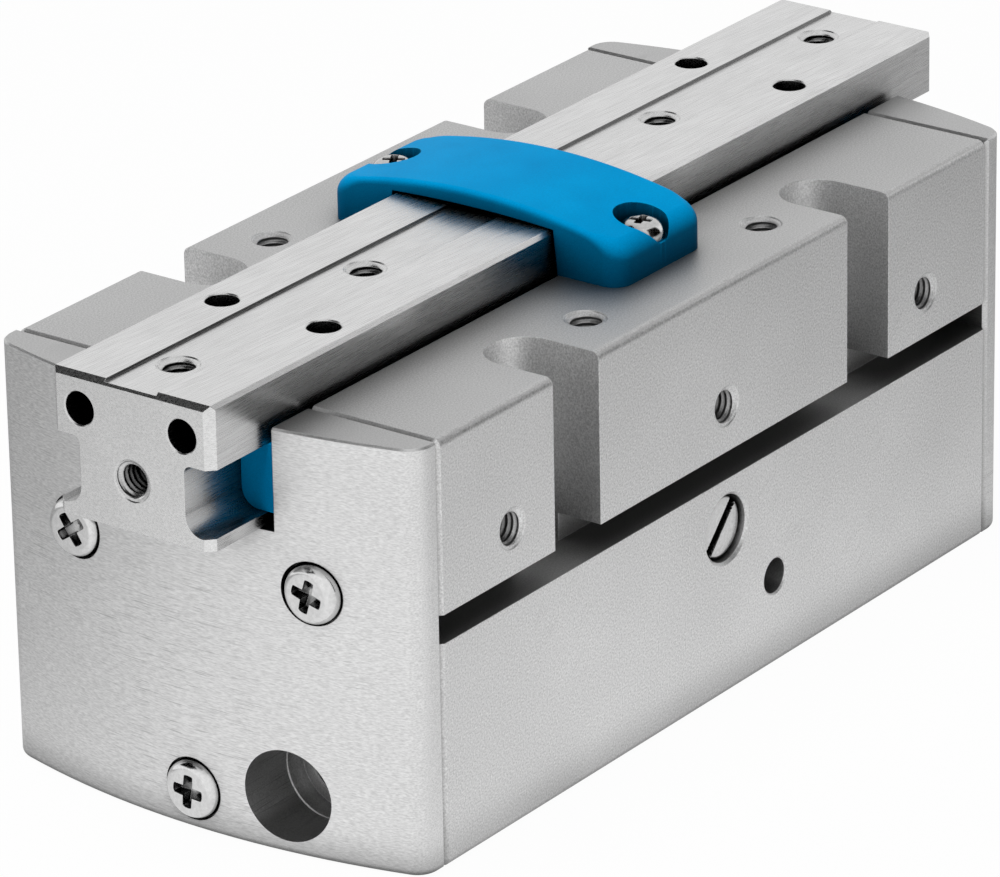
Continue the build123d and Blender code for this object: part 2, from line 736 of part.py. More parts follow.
front_bore_seals.part.label = "front_bore_seals"
export_step(front_bore_seals.part, "parts/front_bore_seals.step")
rear_bore_seals = front_bore_seals.part.rotate(Axis.Z, 180)
rear_bore_seals.label = "rear_bore_seals"
export_step(rear_bore_seals, "parts/rear_bore_seals.step")


# Pinion: involute teeth on a bored hub, one tooth towards each rack's middle space
base_radius = pitch_radius * cos(radians(pressure_angle))
half_tooth_angle = (tooth_pitch / 2 - 2 * tooth_backlash) / (2 * pitch_radius)


# The involute's roll angle at a radius, from the base circle outwards
def involute(radius):
    slope = sqrt((radius / base_radius) ** 2 - 1)
    return slope - atan(slope)


# A point on a tooth's flank, for the tooth that points along +X
def flank_point(radius, side):
    angle = side * (half_tooth_angle + involute(pitch_radius) - involute(max(radius, base_radius)))
    return (radius * cos(angle), radius * sin(angle))


with BuildSketch() as tooth:
    with BuildLine():
        Polyline((0, 0), flank_point(pinion_root_radius, -1), flank_point(base_radius, -1))
        ThreePointArc(
            flank_point(base_radius, -1), flank_point(pitch_radius, -1), flank_point(pinion_tip_radius, -1)
        )
        ThreePointArc(
            flank_point(pinion_tip_radius, -1), (pinion_tip_radius, 0), flank_point(pinion_tip_radius, 1)
        )
        ThreePointArc(
            flank_point(pinion_tip_radius, 1), flank_point(pitch_radius, 1), flank_point(base_radius, 1)
        )
        Polyline(flank_point(base_radius, 1), flank_point(pinion_root_radius, 1), (0, 0))
    make_face()

with BuildPart() as pinion:
    with BuildSketch(Plane.XY.offset(pinion_bottom)):
        Circle(pinion_root_radius)
        with PolarLocations(0, pinion_teeth):
            add(tooth.sketch)
        Circle(pinion_bore_radius, mode=Mode.SUBTRACT)
    extrude(amount=pinion_height)

pinion.part.label = "pinion"
export_step(pinion.part, "parts/pinion.step")


# Bush pressed into the pinion
with BuildPart() as pinion_bush:
    with BuildSketch(Plane.XY.offset(pinion_bottom)):
        Circle(pinion_bore_radius)
        Circle(axle_radius + axle_gap, mode=Mode.SUBTRACT)
    extrude(amount=pinion_height)

pinion_bush.part.label = "pinion_bush"
export_step(pinion_bush.part, "parts/pinion_bush.step")


# Base cover with a boss that carries the axle
washer_bottom = pinion_bottom - washer_gap - lower_washer_thickness
seal_bottom = cover_bottom + (cover_thickness - cover_seal_width) / 2
with BuildPart() as base_cover:
    with BuildSketch(Plane.XY.offset(cover_bottom)):
        Circle(cover_radius - cover_gap)
    extrude(amount=cover_thickness)
    with BuildSketch(Plane.XY.offset(cover_top)):
        Circle(cover_boss_radius)
    extrude(amount=washer_bottom - cover_top)
    with BuildSketch(Plane.XY.offset(seal_bottom)):
        Circle(cover_radius)
        Circle(cover_radius - cover_seal_depth, mode=Mode.SUBTRACT)
    extrude(amount=cover_seal_width, mode=Mode.SUBTRACT)
    with Locations((0, 0, washer_bottom)):
        Hole(axle_radius, depth=washer_bottom - cover_top + axle_seat_depth)

base_cover.part.label = "base_cover"
export_step(base_cover.part, "parts/base_cover.step")


# Sealing ring round the base cover
with BuildPart() as base_cover_seal:
    with BuildSketch(Plane.XY.offset(seal_bottom)):
        Circle(cover_radius)
        Circle(cover_radius - cover_seal_depth, mode=Mode.SUBTRACT)
    extrude(amount=cover_seal_width)

base_cover_seal.part.label = "base_cover_seal"
export_step(base_cover_seal.part, "parts/base_cover_seal.step")


# Open spring clip that holds the base cover in
with BuildPart() as base_cover_clip:
    with BuildSketch(Plane.XY.offset(clip_height)):
        Circle(clip_outer_radius)
        Circle(clip_inner_radius, mode=Mode.SUBTRACT)
        with BuildLine():
            reach = 2 * clip_outer_radius
            half_opening = radians(clip_opening / 2)
            Polyline(
                (0, 0),
                (reach * cos(half_opening), reach * sin(half_opening)),
                (reach * cos(half_opening), -reach * sin(half_opening)),
                close=True,
            )
        make_face(mode=Mode.SUBTRACT)
    extrude(amount=clip_thickness)

base_cover_clip.part.label = "base_cover_clip"
export_step(base_cover_clip.part, "parts/base_cover_clip.step")


# Axle that stands in the base cover, with a thinner pilot in the housing
with BuildPart() as pinion_axle:
    axle_bottom = cover_top - axle_seat_depth
    with BuildSketch(Plane.XY.offset(axle_bottom)):
        Circle(axle_radius)
    extrude(amount=pocket_top - axle_bottom)
    with BuildSketch(Plane.XY.offset(pocket_top)):
        Circle(axle_pilot_radius - axle_gap)
    extrude(amount=axle_pilot_length - axle_gap)

pinion_axle.part.label = "pinion_axle"
export_step(pinion_axle.part, "parts/pinion_axle.step")


# Thrust washers below and above the pinion
with BuildPart() as thrust_washers:
    with BuildSketch(Plane.XY.offset(washer_bottom)):
        Circle(cover_boss_radius)
        Circle(axle_radius + axle_gap, mode=Mode.SUBTRACT)
    extrude(amount=lower_washer_thickness)
    with BuildSketch(Plane.XY.offset(pocket_top - upper_washer_thickness)):
        Circle(cover_boss_radius)
        Circle(axle_radius + axle_gap, mode=Mode.SUBTRACT)
    extrude(amount=upper_washer_thickness)

thrust_washers.part.label = "thrust_washers"
export_step(thrust_washers.part, "parts/thrust_washers.step")


# Slotted plugs in both sides
with BuildPart() as side_plugs:
    with BuildSketch(Plane.XZ.offset(half_width - plug_recess)):
        with Locations((0, bore_height)):
            Circle(plug_radius)
    extrude(amount=-plug_length)
    with BuildSketch(Plane.XZ.offset(half_width - plug_recess)):
        with Locations((0, bore_height)):
            Rectangle(2 * plug_hole_radius, plug_slot_width, rotation=plug_slot_angle)
    extrude(amount=-plug_slot_depth, mode=Mode.SUBTRACT)
    add(side_plugs.part.rotate(Axis.Z, 180))

side_plugs.part.label = "side_plugs"
export_step(side_plugs.part, "parts/side_plugs.step")


# Sealing rings behind the plugs
with BuildPart() as side_plug_seals:
    with BuildSketch(Plane.XZ.offset(half_width - plug_recess - plug_length)):
        with Locations((0, bore_height)):
            Circle(plug_hole_radius)
            Circle(plug_seal_inner_radius, mode=Mode.SUBTRACT)
    extrude(amount=-plug_seal_thickness)
    add(side_plug_seals.part.rotate(Axis.Z, 180))

side_plug_seals.part.label = "side_plug_seals"
export_step(side_plug_seals.part, "parts/side_plug_seals.step")


# Bridge cover: an arch over the jaws that stands on the housing at both sides
with BuildPart() as bridge_cover:
    with BuildSketch(Plane.YZ.offset(-bridge_half_length)):
        with BuildLine():
            crown_z = body_height + bridge_crown
            shoulder_z = crown_z - bridge_drop
            arch_z = jaw_top + bridge_underside_gap
            spring_z = arch_z - bridge_underside_drop
            ThreePointArc((-bridge_half_width, shoulder_z), (0, crown_z), (bridge_half_width, shoulder_z))
            Polyline(
                (bridge_half_width, shoulder_z),
                (bridge_half_width, body_height),
                (bridge_leg_inner, body_height),
                (bridge_leg_inner, spring_z),
            )
            ThreePointArc((bridge_leg_inner, spring_z), (0, arch_z), (-bridge_leg_inner, spring_z))
            Polyline(
                (-bridge_leg_inner, spring_z),
                (-bridge_leg_inner, body_height),
                (-bridge_half_width, body_height),
                (-bridge_half_width, shoulder_z),
            )
        make_face()
    extrude(amount=2 * bridge_half_length)
    outer_corners = bridge_cover.edges().filter_by(Axis.Z).filter_by(
        lambda edge: abs(edge.center().Y) > bridge_half_width - near
    )
    fillet(outer_corners, radius=bridge_corner_radius)
    top_rim = bridge_cover.faces().sort_by(Axis.Z)[-1].edges()
    fillet(top_rim, radius=bridge_edge_radius)
    for y in (-bridge_screw_y, bridge_screw_y):
        with BuildSketch(Plane.XY.offset(bridge_seat)):
            with Locations((0, y)):
                Circle(bridge_pocket_radius)
        extrude(amount=bridge_crown, mode=Mode.SUBTRACT)
        with BuildSketch(Plane.XY.offset(body_height)):
            with Locations((0, y)):
                Circle(bridge_hole_radius)
        extrude(amount=bridge_seat_height, mode=Mode.SUBTRACT)

bridge_cover.part.label = "bridge_cover"
export_step(bridge_cover.part, "parts/bridge_cover.step")


# Two domed screws that hold the bridge cover
bridge_screw = domed_screw(
    bridge_head_radius, bridge_head_height, m3_radius - thread_play, bridge_seat_height + bridge_screw_grip
)
with BuildPart() as bridge_cover_screws:
    with Locations((0, bridge_screw_y, bridge_seat), (0, -bridge_screw_y, bridge_seat)):
        add(bridge_screw)

bridge_cover_screws.part.label = "bridge_cover_screws"
export_step(bridge_cover_screws.part, "parts/bridge_cover_screws.step")
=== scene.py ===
import json
import math

import bmesh
import bpy
import numpy as np
from mathutils import Matrix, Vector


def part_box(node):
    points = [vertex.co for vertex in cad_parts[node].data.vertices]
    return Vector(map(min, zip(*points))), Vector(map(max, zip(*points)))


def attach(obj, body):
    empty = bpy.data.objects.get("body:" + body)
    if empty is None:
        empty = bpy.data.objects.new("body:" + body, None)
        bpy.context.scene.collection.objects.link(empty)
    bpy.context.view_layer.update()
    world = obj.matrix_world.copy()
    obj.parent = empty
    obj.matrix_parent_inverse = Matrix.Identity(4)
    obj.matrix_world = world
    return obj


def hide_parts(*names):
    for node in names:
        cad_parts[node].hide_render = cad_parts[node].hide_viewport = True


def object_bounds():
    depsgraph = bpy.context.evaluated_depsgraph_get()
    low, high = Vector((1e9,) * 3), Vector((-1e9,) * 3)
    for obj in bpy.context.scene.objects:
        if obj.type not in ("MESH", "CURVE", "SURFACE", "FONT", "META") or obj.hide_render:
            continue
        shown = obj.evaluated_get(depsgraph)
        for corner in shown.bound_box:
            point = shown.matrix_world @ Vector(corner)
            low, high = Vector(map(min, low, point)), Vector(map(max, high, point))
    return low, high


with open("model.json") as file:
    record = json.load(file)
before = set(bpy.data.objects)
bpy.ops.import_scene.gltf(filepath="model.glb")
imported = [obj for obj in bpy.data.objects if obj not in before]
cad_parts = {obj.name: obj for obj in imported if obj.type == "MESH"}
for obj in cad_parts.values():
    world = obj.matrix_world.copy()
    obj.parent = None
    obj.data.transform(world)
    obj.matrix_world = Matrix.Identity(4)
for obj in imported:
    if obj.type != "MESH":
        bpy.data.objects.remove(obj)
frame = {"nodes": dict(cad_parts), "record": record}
cadLow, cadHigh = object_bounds()
nodes = frame["nodes"]
mm = 0.001
print("frame loaded:", len(nodes), "nodes")


# sRGB hex to linear light, as the shader sockets want it
def linearColour(hexCode):
    parts = np.array([int(hexCode[i:i + 2], 16) for i in (1, 3, 5)]) / 255
    lit = np.where(parts <= 0.04045, parts / 12.92, ((parts + 0.055) / 1.055) ** 2.4)
    return (*lit.tolist(), 1.0)


# Adds a node with its settings; an input given as a socket is linked, anything else is set on it
def addNode(tree, kind, settings=None, inputs=None):
    node = tree.nodes.new(kind)
    for name, value in (settings or {}).items():
        setattr(node, name, value)
    for key, value in (inputs or {}).items():
        if isinstance(value, bpy.types.NodeSocket):
            tree.links.new(value, node.inputs[key])
        else:
            node.inputs[key].default_value = value
    return node


# Mapping scale for marks of these sizes in millimetres along X, Y and Z
def marksPerMetre(sizes):
    return [1 / (size * mm) for size in sizes]


# The part of a noise's values that a tone is spread over, and the numbers that every skin shares
noiseSpan = (0.3, 0.7)
noiseRoughness = 0.55
topFacing = (0.6, 0.8)  # how far up a normal points where the sides' marks give way to the top's
scratchPeaks = (0.60, 0.70)
scratchPatches = (0.42, 0.62)
metalOpenness = (0.25, 0.92)  # open share at which a hollow is fully dark and no longer dark
plasticOpenness = (0.3, 1.0)
opennessRays = {"samples": 8}
edgeRays = {"samples": 6}


# Noise drawn out to marks of these sizes in millimetres, after a turn in degrees about X, Y and Z
def drawnNoise(tree, place, marks, turn, detail):
    turned = addNode(tree, "ShaderNodeMapping", None, {
        "Vector": place, "Rotation": [math.radians(a) for a in turn]})
    drawn = addNode(tree, "ShaderNodeMapping", None, {
        "Vector": turned.outputs[0], "Scale": marksPerMetre(marks)})
    return addNode(tree, "ShaderNodeTexNoise", None, {
        "Vector": drawn.outputs[0], "Scale": 1.0, "Detail": detail,
        "Roughness": noiseRoughness}).outputs[0]


# A metal with drawn-out marks, which run one way on the top and another on the sides. Its thin dark
# scratches are the peaks of a longer noise, in patches, and the parts that see little around them,
# such as hollows and faces next to other parts, are drawn darker as painted shade
def metalSkin(name, look):
    skin = bpy.data.materials.new(name)
    skin.use_nodes = True
    tree = skin.node_tree
    tree.nodes.clear()
    place = addNode(tree, "ShaderNodeTexCoord").outputs["Object"]
    grains = [drawnNoise(tree, place, look[way + "Marks"], look[way + "Turn"], 2.0)
              for way in ("top", "side")]
    facing = addNode(tree, "ShaderNodeSeparateXYZ", None, {
        "Vector": addNode(tree, "ShaderNodeNewGeometry").outputs["Normal"]})
    upward = addNode(tree, "ShaderNodeMath", {"operation": "ABSOLUTE"}, {0: facing.outputs["Z"]})
    isTop = addNode(tree, "ShaderNodeMapRange", None, {
        "Value": upward.outputs[0], "From Min": topFacing[0], "From Max": topFacing[1]})
    grain = addNode(tree, "ShaderNodeMix", {"data_type": "FLOAT"}, {
        0: isTop.outputs[0], 2: grains[1], 3: grains[0]}).outputs[0]
    cloud = addNode(tree, "ShaderNodeTexNoise", None, {
        "Vector": place, "Scale": 1 / (look["cloudSize"] * mm), "Detail": 2.0}).outputs[0]
    marks = addNode(tree, "ShaderNodeMath", {"operation": "MULTIPLY_ADD"}, {
        0: cloud, 1: look["cloudShare"], 2: grain})
    tone = addNode(tree, "ShaderNodeMapRange", None, {
        "Value": marks.outputs[0], "From Min": noiseSpan[0] + look["cloudShare"] / 2,
        "From Max": noiseSpan[1] + look["cloudShare"] / 2})
    colour = addNode(tree, "ShaderNodeMix", {"data_type": "RGBA"}, {
        0: tone.outputs[0], 6: linearColour(look["dark"]), 7: linearColour(look["light"])}).outputs[2]
    # Faces that point up or down are multiplied by a tint: painted shade, and on the housing partly its
    # duller blasted top
    colour = addNode(tree, "ShaderNodeMix", {"data_type": "RGBA", "blend_type": "MULTIPLY"}, {
        0: isTop.outputs[0], 6: colour, 7: linearColour(look["topShadeAndFinish"])}).outputs[2]
    if "scratchMarks" in look:
        peaks = drawnNoise(tree, place, look["scratchMarks"], look["scratchTurn"], 1.0)
        line = addNode(tree, "ShaderNodeMapRange", None, {
            "Value": peaks, "From Min": scratchPeaks[0], "From Max": scratchPeaks[1],
            "To Max": look["scratchShare"]})
        patch = addNode(tree, "ShaderNodeMapRange", None, {
            "Value": cloud, "From Min": scratchPatches[0], "From Max": scratchPatches[1]})
        share = addNode(tree, "ShaderNodeMath", {"operation": "MULTIPLY"}, {
            0: line.outputs[0], 1: patch.outputs[0]})
        colour = addNode(tree, "ShaderNodeMix", {"data_type": "RGBA"}, {
            0: share.outputs[0], 6: colour, 7: linearColour(look["scratch"])}).outputs[2]
    # Painted shade: the colour is darkened where ambient occlusion finds other surfaces near, in hollows,
    # corners and next to other parts
    openness = addNode(tree, "ShaderNodeAmbientOcclusion", opennessRays, {"Distance": look["hollow"] * mm})
    shade = addNode(tree, "ShaderNodeMapRange", None, {
        "Value": openness.outputs["AO"], "From Min": metalOpenness[0], "From Max": metalOpenness[1],
        "To Min": look["hollowShade"]})
    colour = addNode(tree, "ShaderNodeMix", {"data_type": "RGBA", "blend_type": "MULTIPLY"}, {
        0: 1.0, 6: colour, 7: shade.outputs[0]}).outputs[2]
    rough = addNode(tree, "ShaderNodeMapRange", None, {
        "Value": grain, "From Min": noiseSpan[0], "From Max": noiseSpan[1],
        "To Min": look["roughness"][0], "To Max": look["roughness"][1]})
    soft = addNode(tree, "ShaderNodeBevel", edgeRays, {"Radius": look["edge"] * mm})
    bump = addNode(tree, "ShaderNodeBump", None, {
        "Strength": look["bump"], "Distance": look["bumpDepth"] * mm,
        "Height": grain, "Normal": soft.outputs[0]})
    shader = addNode(tree, "ShaderNodeBsdfPrincipled", None, {
        "Base Color": colour, "Metallic": 1.0, "Roughness": rough.outputs[0],
        "Normal": bump.outputs[0]})
    addNode(tree, "ShaderNodeOutputMaterial", None, {"Surface": shader.outputs[0]})
    return skin


# A plastic or rubber whose skin is a fine even grain with a soft cloud in its colour, and whose hollows and
# faces near other parts are drawn darker as painted shade
def mouldedSkin(name, look):
    skin = bpy.data.materials.new(name)
    skin.use_nodes = True
    tree = skin.node_tree
    tree.nodes.clear()
    place = addNode(tree, "ShaderNodeTexCoord").outputs["Object"]
    grain = addNode(tree, "ShaderNodeTexNoise", None, {
        "Vector": place, "Scale": 1 / (look["grainSize"] * mm), "Detail": 2.0}).outputs[0]
    cloud = addNode(tree, "ShaderNodeTexNoise", None, {
        "Vector": place, "Scale": 1 / (look["cloudSize"] * mm), "Detail": 2.0}).outputs[0]
    mottle = addNode(tree, "ShaderNodeMix", {"data_type": "FLOAT"}, {0: 0.5, 2: cloud, 3: grain}).outputs[0]
    tone = addNode(tree, "ShaderNodeMapRange", None, {
        "Value": mottle, "From Min": noiseSpan[0], "From Max": noiseSpan[1]})
    colour = addNode(tree, "ShaderNodeMix", {"data_type": "RGBA"}, {
        0: tone.outputs[0], 6: linearColour(look["dark"]), 7: linearColour(look["light"])})
    # Painted shade: the colour is darkened where ambient occlusion finds other surfaces near
    openness = addNode(tree, "ShaderNodeAmbientOcclusion", opennessRays, {"Distance": look["hollow"] * mm})
    shade = addNode(tree, "ShaderNodeMapRange", None, {
        "Value": openness.outputs["AO"], "From Min": plasticOpenness[0], "From Max": plasticOpenness[1],
        "To Min": look["hollowShade"]})
    colour = addNode(tree, "ShaderNodeMix", {"data_type": "RGBA", "blend_type": "MULTIPLY"}, {
        0: 1.0, 6: colour.outputs[2], 7: shade.outputs[0]})
    rough = addNode(tree, "ShaderNodeMapRange", None, {
        "Value": grain, "To Min": look["roughness"][0], "To Max": look["roughness"][1]})
    bump = addNode(tree, "ShaderNodeBump", None, {
        "Strength": look["bump"], "Distance": look["bumpDepth"] * mm, "Height": grain})
    shader = addNode(tree, "ShaderNodeBsdfPrincipled", None, {
        "Base Color": colour.outputs[2], "Roughness": rough.outputs[0], "Specular IOR Level": look["gloss"],
        "IOR": look["ior"], "Normal": bump.outputs[0]})
    addNode(tree, "ShaderNodeOutputMaterial", None, {"Surface": shader.outputs[0]})
    return skin


# Marks are (along X, along Y, along Z) in millimetres, and turns are degrees about X, Y and Z. The
# hollow is how far in millimetres a surface looks for others that take its light away, and the
# hollow shade is what is left of its colour where they take all of it, as painted shade
# The top shade and finish tints the faces that point up or down: painted shade, and on the housing partly its
# duller blasted top
skins = {
    # Clear anodised over a fine blasted face: an even satin grey with a very fine speckle.
    # The real grain is near 0.05 mm, drawn at 0.2 mm so that it shows
    "anodised_aluminium": metalSkin("blastedAnodisedAluminium", {
        "dark": "#cdcdcd", "light": "#fdfdfd", "topShadeAndFinish": "#d0d0d0", "roughness": (0.44, 0.52), "edge": 0.15,
        "topMarks": (0.2, 0.2, 0.2), "topTurn": (0, 0, 0),
        "sideMarks": (0.24, 0.2, 0.24), "sideTurn": (0, 0, 0),
        "scratch": "#b4b4b4", "scratchMarks": (6, 0.12, 0.12), "scratchTurn": (0, 38, 0), "scratchShare": 0.3,
        "hollow": 8, "hollowShade": 0.34, "cloudSize": 22, "cloudShare": 0.2,
        "bump": 0.05, "bumpDepth": 0.01}),
    # Brushed level on a belt, then anodised: long fine dark lines across the plate
    "brushed_aluminium": metalSkin("brushedAnodisedAluminium", {
        "dark": "#d0d0d0", "light": "#f2f2f2", "topShadeAndFinish": "#cacaca", "roughness": (0.36, 0.44), "edge": 0.12,
        "topMarks": (0.2, 0.2, 0.2), "topTurn": (0, 0, 0),
        "sideMarks": (0.2, 0.9, 0.15), "sideTurn": (0, 0, 0),
        "scratch": "#9a9a9a", "scratchMarks": (7, 5.0, 0.12), "scratchTurn": (0, 0, 0), "scratchShare": 0.5,
        "hollow": 6, "hollowShade": 0.15, "cloudSize": 24, "cloudShare": 0.2,
        "bump": 0.06, "bumpDepth": 0.01}),
    # Hardened tool steel off a surface grinder: bright, with fine marks along the travel
    "ground_steel": metalSkin("groundToolSteel", {
        "dark": "#d2d2d2", "light": "#ececec", "topShadeAndFinish": "#ececec", "roughness": (0.24, 0.32), "edge": 0.1,
        "topMarks": (5.0, 0.12, 0.3), "topTurn": (0, 0, 4),
        "sideMarks": (5.0, 0.25, 0.15), "sideTurn": (0, 1, 0),
        "scratch": "#a0a0a0", "scratchMarks": (9, 0.12, 0.12), "scratchTurn": (0, 1, 3), "scratchShare": 0.4,
        "hollow": 8, "hollowShade": 0.06, "cloudSize": 9, "cloudShare": 0.25,
        "bump": 0.06, "bumpDepth": 0.01}),
    # The rails are hardened and ground along their length, a little darker than the jaws
    "rail_steel": metalSkin("hardenedRailSteel", {
        "dark": "#7d7d7d", "light": "#a5a5a5", "topShadeAndFinish": "#ffffff", "roughness": (0.26, 0.38), "edge": 0.1,
        "topMarks": (5.0, 0.2, 0.2), "topTurn": (0, 0, 0),
        "sideMarks": (5.0, 0.2, 0.2), "sideTurn": (0, 0, 0),
        "hollow": 5, "hollowShade": 0.05, "cloudSize": 12, "cloudShare": 0.2,
        "bump": 0.1, "bumpDepth": 0.01}),
    # Nickel plate over a headed screw: smooth bright metal that mirrors the room
    "nickel_steel": metalSkin("nickelPlatedSteel", {
        "dark": "#d4d4d4", "light": "#e4e4e4", "topShadeAndFinish": "#d8d8d8", "roughness": (0.14, 0.20), "edge": 0.06,
        "topMarks": (0.5, 0.5, 0.5), "topTurn": (0, 0, 0),
        "sideMarks": (0.5, 0.5, 0.5), "sideTurn": (0, 0, 0),
        "hollow": 1.8, "hollowShade": 0.03, "cloudSize": 4, "cloudShare": 0.3,
        "bump": 0.03, "bumpDepth": 0.01}),
    # Turned and hard anodised: grey with rings across the length
    "piston_aluminium": metalSkin("hardAnodisedAluminium", {
        "dark": "#6e6f70", "light": "#8d8e8f", "topShadeAndFinish": "#ffffff", "roughness": (0.32, 0.44), "edge": 0.1,
        "topMarks": (0.2, 4.0, 4.0), "topTurn": (0, 0, 0),
        "sideMarks": (0.2, 4.0, 4.0), "sideTurn": (0, 0, 0),
        "hollow": 4, "hollowShade": 0.2, "cloudSize": 10, "cloudShare": 0.2,
        "bump": 0.1, "bumpDepth": 0.01}),
    # Sintered bronze filled with oil: brown metal with open pores
    "bronze": metalSkin("sinteredBronze", {
        "dark": "#7a5326", "light": "#b3874a", "topShadeAndFinish": "#ffffff", "roughness": (0.36, 0.52), "edge": 0.08,
        "topMarks": (0.2, 0.2, 0.2), "topTurn": (0, 0, 0),
        "sideMarks": (0.2, 0.2, 0.2), "sideTurn": (0, 0, 0),
        "hollow": 2, "hollowShade": 0.3, "cloudSize": 2, "cloudShare": 0.3,
        "bump": 0.3, "bumpDepth": 0.02}),
    # Phosphated spring steel: near black with a dull sheen
    "spring_steel": metalSkin("phosphatedSpringSteel", {
        "dark": "#2b2b2c", "light": "#454547", "topShadeAndFinish": "#ffffff", "roughness": (0.40, 0.55), "edge": 0.08,
        "topMarks": (0.25, 0.25, 0.25), "topTurn": (0, 0, 0),
        "sideMarks": (0.25, 0.25, 0.25), "sideTurn": (0, 0, 0),
        "hollow": 2, "hollowShade": 0.3, "cloudSize": 3, "cloudShare": 0.3,
        "bump": 0.2, "bumpDepth": 0.02}),
    # Nickel plated magnet: smooth and bright
    "magnet_metal": metalSkin("nickelPlatedMagnet", {
        "dark": "#9b9b9b", "light": "#bdbdbd", "topShadeAndFinish": "#ffffff", "roughness": (0.18, 0.28), "edge": 0.08,
        "topMarks": (0.6, 0.6, 0.6), "topTurn": (0, 0, 0),
        "sideMarks": (0.6, 0.6, 0.6), "sideTurn": (0, 0, 0),
        "hollow": 2, "hollowShade": 0.3, "cloudSize": 2, "cloudShare": 0.2,
        "bump": 0.1, "bumpDepth": 0.01}),
    # Moulded acetal: saturated blue, satin, with the mould's spark-eroded grain. Its faces near the housing
    # and its hollows are drawn much darker, as painted shade
    "blue_plastic": mouldedSkin("mouldedBlueAcetal", {
        "dark": "#008ac6", "light": "#009edc", "roughness": (0.36, 0.46), "gloss": 0.012, "ior": 1.48,
        "hollow": 18, "hollowShade": 0.06, "grainSize": 0.2, "cloudSize": 9,
        "bump": 0.15, "bumpDepth": 0.02}),
    # The same acetal on the wipers, drawn a little lighter as painted light for the light that comes through
    # them, as they are thin; their painted hollow shade is slight
    "wiper_plastic": mouldedSkin("mouldedWiperAcetal", {
        "dark": "#0090d0", "light": "#00a6ea", "roughness": (0.36, 0.46), "gloss": 0.012, "ior": 1.48,
        "hollow": 12, "hollowShade": 0.9, "grainSize": 0.2, "cloudSize": 9,
        "bump": 0.15, "bumpDepth": 0.02}),
    # Moulded nitrile rubber: black and matt
    "black_rubber": mouldedSkin("mouldedNitrileRubber", {
        "dark": "#151515", "light": "#222222", "roughness": (0.55, 0.70), "gloss": 0.4, "ior": 1.52,
        "hollow": 2, "hollowShade": 0.5, "grainSize": 0.2, "cloudSize": 4,
        "bump": 0.2, "bumpDepth": 0.02}),
}
for part in frame["record"]["subparts"]:
    materials = nodes[part["node"]].data.materials
    materials.clear()
    materials.append(skins["wiper_plastic" if part["node"].endswith("_wipers") else part["material_slot"]])
print("materials made:", len(skins))


# Smooth step from 0 to 1 as t goes from 0 to 1
def ease(t):
    t = np.clip(t, 0, 1)
    return t * t * (3 - 2 * t)


mergeReach = 0.002  # points nearer than this in millimetres become one
thinReach = 0.0005  # faces and edges thinner than this in millimetres go
sharpAngle = 32  # degrees past which an edge stays sharp


# Makes one object of several grids of points; closed columns run all the way round. Points that meet
# are merged, so that seams and poles are closed, and faces are turned outwards
def surfaceObject(name, grids, slot, body, replaced=()):
    points, quads, start = [], [], 0
    for grid, closed in grids:
        rows, columns = grid.shape[:2]
        index = np.arange(rows * columns).reshape(rows, columns) + start
        left = index if closed else index[:, :-1]
        right = np.roll(index, -1, axis=1) if closed else index[:, 1:]
        quads.append(np.stack([left[:-1], right[:-1], right[1:], left[1:]], axis=-1).reshape(-1, 4))
        points.append(grid.reshape(-1, 3))
        start += rows * columns
    mesh = bpy.data.meshes.new(name)
    mesh.from_pydata((np.concatenate(points) * mm).tolist(), [], np.concatenate(quads).tolist())
    work = bmesh.new()
    work.from_mesh(mesh)
    bmesh.ops.remove_doubles(work, verts=work.verts, dist=mergeReach * mm)
    bmesh.ops.dissolve_degenerate(work, edges=work.edges, dist=thinReach * mm)
    bmesh.ops.recalc_face_normals(work, faces=work.faces)
    work.to_mesh(mesh)
    openEdges = sum(1 for edge in work.edges if not edge.is_manifold)
    work.free()
    mesh.shade_smooth()
    mesh.set_sharp_from_angle(angle=math.radians(sharpAngle))
    piece = bpy.data.objects.new(name, mesh)
    bpy.context.scene.collection.objects.link(piece)
    mesh.materials.append(skins[slot])
    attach(piece, body)
    if replaced:
        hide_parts(*replaced)
    print("piece:", name, len(mesh.polygons), "faces,", openEdges, "open edges")


# Carries local points (right, up, outward) to a place, with the outward axis given and no roll
def placeGrid(grid, place, outward):
    outward = np.array(outward, float)
    right = np.array([1.0, 0, 0]) if abs(outward[2]) > 0.5 else np.cross([0, 0, 1.0], outward)
    up = np.cross(outward, right)
    return np.array(place) + grid @ np.array([right, up, outward])


# Turns a profile of (radius, height) rows about the outward axis
def turnedGrid(profile, columns):
    angle = np.arange(columns) * 2 * math.pi / columns
    radius, height = np.array(profile, float).T
    return np.stack([
        radius[:, None] * np.cos(angle), radius[:, None] * np.sin(angle),
        np.broadcast_to(height[:, None], (len(radius), columns))], axis=-1)


